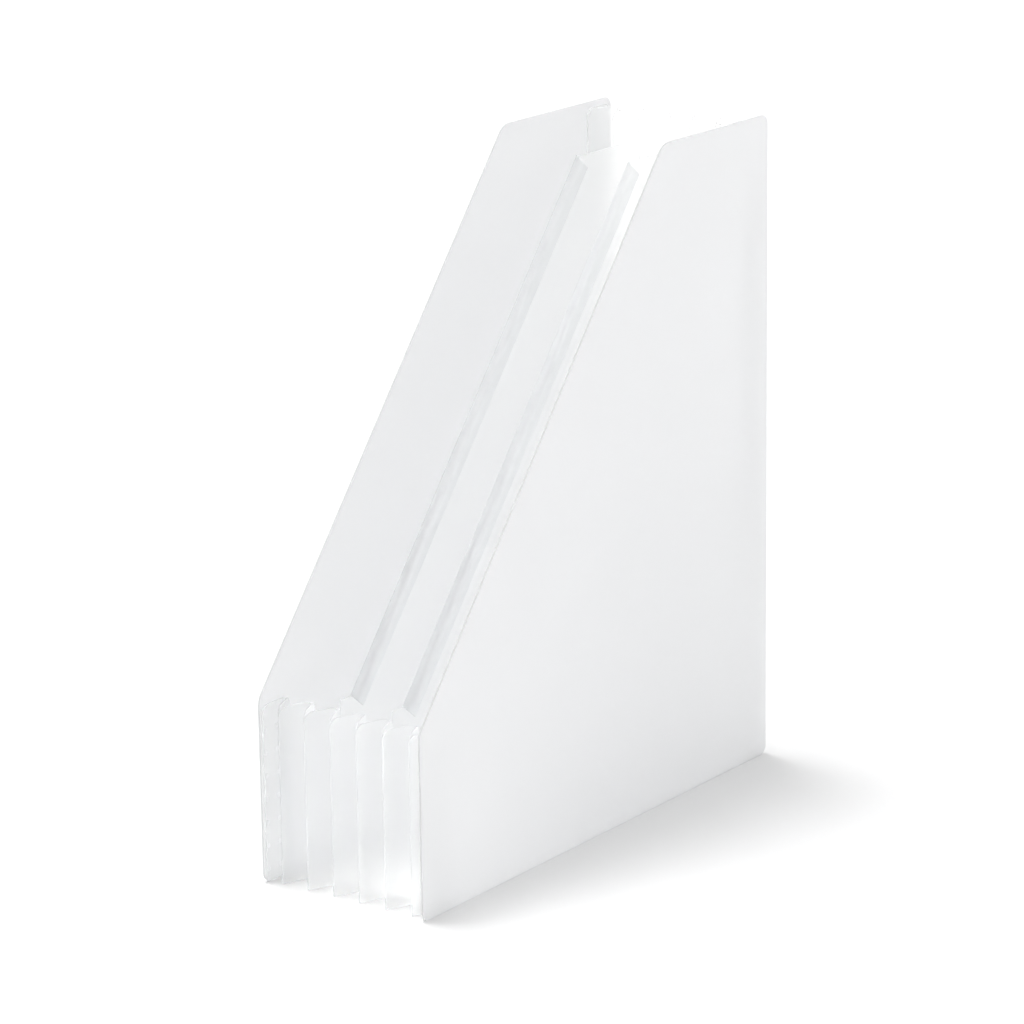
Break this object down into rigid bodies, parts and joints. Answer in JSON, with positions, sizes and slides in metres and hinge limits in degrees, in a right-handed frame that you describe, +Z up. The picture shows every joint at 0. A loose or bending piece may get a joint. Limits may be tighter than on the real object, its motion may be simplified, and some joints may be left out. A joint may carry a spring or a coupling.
{
  "type": "magazine rack",
  "caption": "Free-standing expanding magazine rack in frosted plastic sheet: slanted side panels, pleated front and back strips, and hemmed dividers that form open-topped pockets.",
  "frame": {"origin": "centre of the base, on the surface that the rack stands on", "axes": "+X across the pockets, towards the right side panel; +Y towards the tall back; +Z up"},
  "size_m": [0.091, 0.28, 0.318],
  "materials": {
    "side_sheet": "frosted clear polypropylene sheet",
    "pleat_sheet": "frosted clear polypropylene sheet, thinner",
    "divider_sheet": "frosted clear polypropylene sheet, thinner"
  },
  "bodies": {
    "left_panel": {"left_panel": "side_sheet", "front_left_flange": "pleat_sheet", "back_left_flange": "pleat_sheet"},
    "right_panel": {"right_panel": "side_sheet", "front_right_flange": "pleat_sheet", "back_right_flange": "pleat_sheet"},
    "divider_1": {"divider_1": "divider_sheet"},
    "divider_2": {"divider_2": "divider_sheet"},
    "front_pleat_01": {"front_pleat_01": "pleat_sheet"},
    "front_pleat_02": {"front_pleat_02": "pleat_sheet"},
    "front_pleat_03": {"front_pleat_03": "pleat_sheet"},
    "front_pleat_04": {"front_pleat_04": "pleat_sheet"},
    "front_pleat_05": {"front_pleat_05": "pleat_sheet", "front_flap_1": "divider_sheet"},
    "front_pleat_06": {"front_pleat_06": "pleat_sheet"},
    "front_pleat_07": {"front_pleat_07": "pleat_sheet"},
    "front_pleat_08": {"front_pleat_08": "pleat_sheet"},
    "front_pleat_09": {"front_pleat_09": "pleat_sheet", "front_flap_2": "divider_sheet"},
    "front_pleat_10": {"front_pleat_10": "pleat_sheet"},
    "front_pleat_11": {"front_pleat_11": "pleat_sheet"},
    "front_pleat_12": {"front_pleat_12": "pleat_sheet"},
    "back_pleat_01": {"back_pleat_01": "pleat_sheet"},
    "back_pleat_02": {"back_pleat_02": "pleat_sheet"},
    "back_pleat_03": {"back_pleat_03": "pleat_sheet"},
    "back_pleat_04": {"back_pleat_04": "pleat_sheet"},
    "back_pleat_05": {"back_pleat_05": "pleat_sheet", "back_flap_1": "divider_sheet"},
    "back_pleat_06": {"back_pleat_06": "pleat_sheet"},
    "back_pleat_07": {"back_pleat_07": "pleat_sheet"},
    "back_pleat_08": {"back_pleat_08": "pleat_sheet"},
    "back_pleat_09": {"back_pleat_09": "pleat_sheet", "back_flap_2": "divider_sheet"},
    "back_pleat_10": {"back_pleat_10": "pleat_sheet"},
    "back_pleat_11": {"back_pleat_11": "pleat_sheet"},
    "back_pleat_12": {"back_pleat_12": "pleat_sheet"}
  },
  "joints": [
    {"name": "rack_opening", "type": "hinge", "parent": "left_panel", "child": "back_pleat_01", "pos_m": [-0.044, 0.12, 0], "axis": [0, 0, -1], "range_deg": [-18.5, 11]},
    {"name": "back_fold_01", "type": "hinge", "parent": "back_pleat_01", "child": "back_pleat_02", "pos_m": [-0.03667, 0.13589, 0], "axis": [0, 0, 1], "range_deg": [-37, 22]},
    {"name": "back_fold_02", "type": "hinge", "parent": "back_pleat_02", "child": "back_pleat_03", "pos_m": [-0.02933, 0.12, 0], "axis": [0, 0, -1], "range_deg": [-37, 22]},
    {"name": "back_fold_03", "type": "hinge", "parent": "back_pleat_03", "child": "back_pleat_04", "pos_m": [-0.022, 0.13589, 0], "axis": [0, 0, 1], "range_deg": [-37, 22]},
    {"name": "back_fold_04", "type": "hinge", "parent": "back_pleat_04", "child": "back_pleat_05", "pos_m": [-0.01467, 0.12, 0], "axis": [0, 0, -1], "range_deg": [-37, 22]},
    {"name": "back_fold_05", "type": "hinge", "parent": "back_pleat_05", "child": "back_pleat_06", "pos_m": [-0.00733, 0.13589, 0], "axis": [0, 0, 1], "range_deg": [-37, 22]},
    {"name": "back_fold_06", "type": "hinge", "parent": "back_pleat_06", "child": "back_pleat_07", "pos_m": [0, 0.12, 0], "axis": [0, 0, -1], "range_deg": [-37, 22]},
    {"name": "back_fold_07", "type": "hinge", "parent": "back_pleat_07", "child": "back_pleat_08", "pos_m": [0.00733, 0.13589, 0], "axis": [0, 0, 1], "range_deg": [-37, 22]},
    {"name": "back_fold_08", "type": "hinge", "parent": "back_pleat_08", "child": "back_pleat_09", "pos_m": [0.01467, 0.12, 0], "axis": [0, 0, -1], "range_deg": [-37, 22]},
    {"name": "back_fold_09", "type": "hinge", "parent": "back_pleat_09", "child": "back_pleat_10", "pos_m": [0.022, 0.13589, 0], "axis": [0, 0, 1], "range_deg": [-37, 22]},
    {"name": "back_fold_10", "type": "hinge", "parent": "back_pleat_10", "child": "back_pleat_11", "pos_m": [0.02933, 0.12, 0], "axis": [0, 0, -1], "range_deg": [-37, 22]},
    {"name": "back_fold_11", "type": "hinge", "parent": "back_pleat_11", "child": "back_pleat_12", "pos_m": [0.03667, 0.13589, 0], "axis": [0, 0, 1], "range_deg": [-37, 22]},
    {"name": "back_fold_12", "type": "hinge", "parent": "back_pleat_12", "child": "right_panel", "pos_m": [0.044, 0.12, 0], "axis": [0, 0, -1], "range_deg": [-18.5, 11]},
    {"name": "divider_1_hinge", "type": "hinge", "parent": "back_pleat_04", "child": "divider_1", "pos_m": [-0.01467, 0.12, 0], "axis": [0, 0, -1], "range_deg": [-18.5, 11]},
    {"name": "divider_2_hinge", "type": "hinge", "parent": "back_pleat_08", "child": "divider_2", "pos_m": [0.01467, 0.12, 0], "axis": [0, 0, -1], "range_deg": [-18.5, 11]},
    {"name": "front_fold_00", "type": "hinge", "parent": "left_panel", "child": "front_pleat_01", "pos_m": [-0.044, -0.12, 0], "axis": [0, 0, 1], "range_deg": [-18.5, 11]},
    {"name": "front_fold_01", "type": "hinge", "parent": "front_pleat_01", "child": "front_pleat_02", "pos_m": [-0.03667, -0.13589, 0], "axis": [0, 0, -1], "range_deg": [-37, 22]},
    {"name": "front_fold_02", "type": "hinge", "parent": "front_pleat_02", "child": "front_pleat_03", "pos_m": [-0.02933, -0.12, 0], "axis": [0, 0, 1], "range_deg": [-37, 22]},
    {"name": "front_fold_03", "type": "hinge", "parent": "front_pleat_03", "child": "front_pleat_04", "pos_m": [-0.022, -0.13589, 0], "axis": [0, 0, -1], "range_deg": [-37, 22]},
    {"name": "front_fold_04", "type": "hinge", "parent": "divider_1", "child": "front_pleat_05", "pos_m": [-0.01467, -0.12, 0], "axis": [0, 0, 1], "range_deg": [-18.5, 11]},
    {"name": "front_fold_05", "type": "hinge", "parent": "front_pleat_05", "child": "front_pleat_06", "pos_m": [-0.00733, -0.13589, 0], "axis": [0, 0, -1], "range_deg": [-37, 22]},
    {"name": "front_fold_06", "type": "hinge", "parent": "front_pleat_06", "child": "front_pleat_07", "pos_m": [0, -0.12, 0], "axis": [0, 0, 1], "range_deg": [-37, 22]},
    {"name": "front_fold_07", "type": "hinge", "parent": "front_pleat_07", "child": "front_pleat_08", "pos_m": [0.00733, -0.13589, 0], "axis": [0, 0, -1], "range_deg": [-37, 22]},
    {"name": "front_fold_08", "type": "hinge", "parent": "divider_2", "child": "front_pleat_09", "pos_m": [0.01467, -0.12, 0], "axis": [0, 0, 1], "range_deg": [-18.5, 11]},
    {"name": "front_fold_09", "type": "hinge", "parent": "front_pleat_09", "child": "front_pleat_10", "pos_m": [0.022, -0.13589, 0], "axis": [0, 0, -1], "range_deg": [-37, 22]},
    {"name": "front_fold_10", "type": "hinge", "parent": "front_pleat_10", "child": "front_pleat_11", "pos_m": [0.02933, -0.12, 0], "axis": [0, 0, 1], "range_deg": [-37, 22]},
    {"name": "front_fold_11", "type": "hinge", "parent": "front_pleat_11", "child": "front_pleat_12", "pos_m": [0.03667, -0.13589, 0], "axis": [0, 0, -1], "range_deg": [-37, 22]}
  ],
  "couplings": [
    {"joint": "back_fold_01", "follows": "rack_opening", "ratio": 2},
    {"joint": "back_fold_02", "follows": "rack_opening", "ratio": 2},
    {"joint": "back_fold_03", "follows": "rack_opening", "ratio": 2},
    {"joint": "back_fold_04", "follows": "rack_opening", "ratio": 2},
    {"joint": "back_fold_05", "follows": "rack_opening", "ratio": 2},
    {"joint": "back_fold_06", "follows": "rack_opening", "ratio": 2},
    {"joint": "back_fold_07", "follows": "rack_opening", "ratio": 2},
    {"joint": "back_fold_08", "follows": "rack_opening", "ratio": 2},
    {"joint": "back_fold_09", "follows": "rack_opening", "ratio": 2},
    {"joint": "back_fold_10", "follows": "rack_opening", "ratio": 2},
    {"joint": "back_fold_11", "follows": "rack_opening", "ratio": 2},
    {"joint": "back_fold_12", "follows": "rack_opening", "ratio": 1},
    {"joint": "divider_1_hinge", "follows": "rack_opening", "ratio": 1},
    {"joint": "divider_2_hinge", "follows": "rack_opening", "ratio": 1},
    {"joint": "front_fold_00", "follows": "rack_opening", "ratio": 1},
    {"joint": "front_fold_01", "follows": "rack_opening", "ratio": 2},
    {"joint": "front_fold_02", "follows": "rack_opening", "ratio": 2},
    {"joint": "front_fold_03", "follows": "rack_opening", "ratio": 2},
    {"joint": "front_fold_04", "follows": "rack_opening", "ratio": 1},
    {"joint": "front_fold_05", "follows": "rack_opening", "ratio": 2},
    {"joint": "front_fold_06", "follows": "rack_opening", "ratio": 2},
    {"joint": "front_fold_07", "follows": "rack_opening", "ratio": 2},
    {"joint": "front_fold_08", "follows": "rack_opening", "ratio": 1},
    {"joint": "front_fold_09", "follows": "rack_opening", "ratio": 2},
    {"joint": "front_fold_10", "follows": "rack_opening", "ratio": 2},
    {"joint": "front_fold_11", "follows": "rack_opening", "ratio": 2}
  ]
}
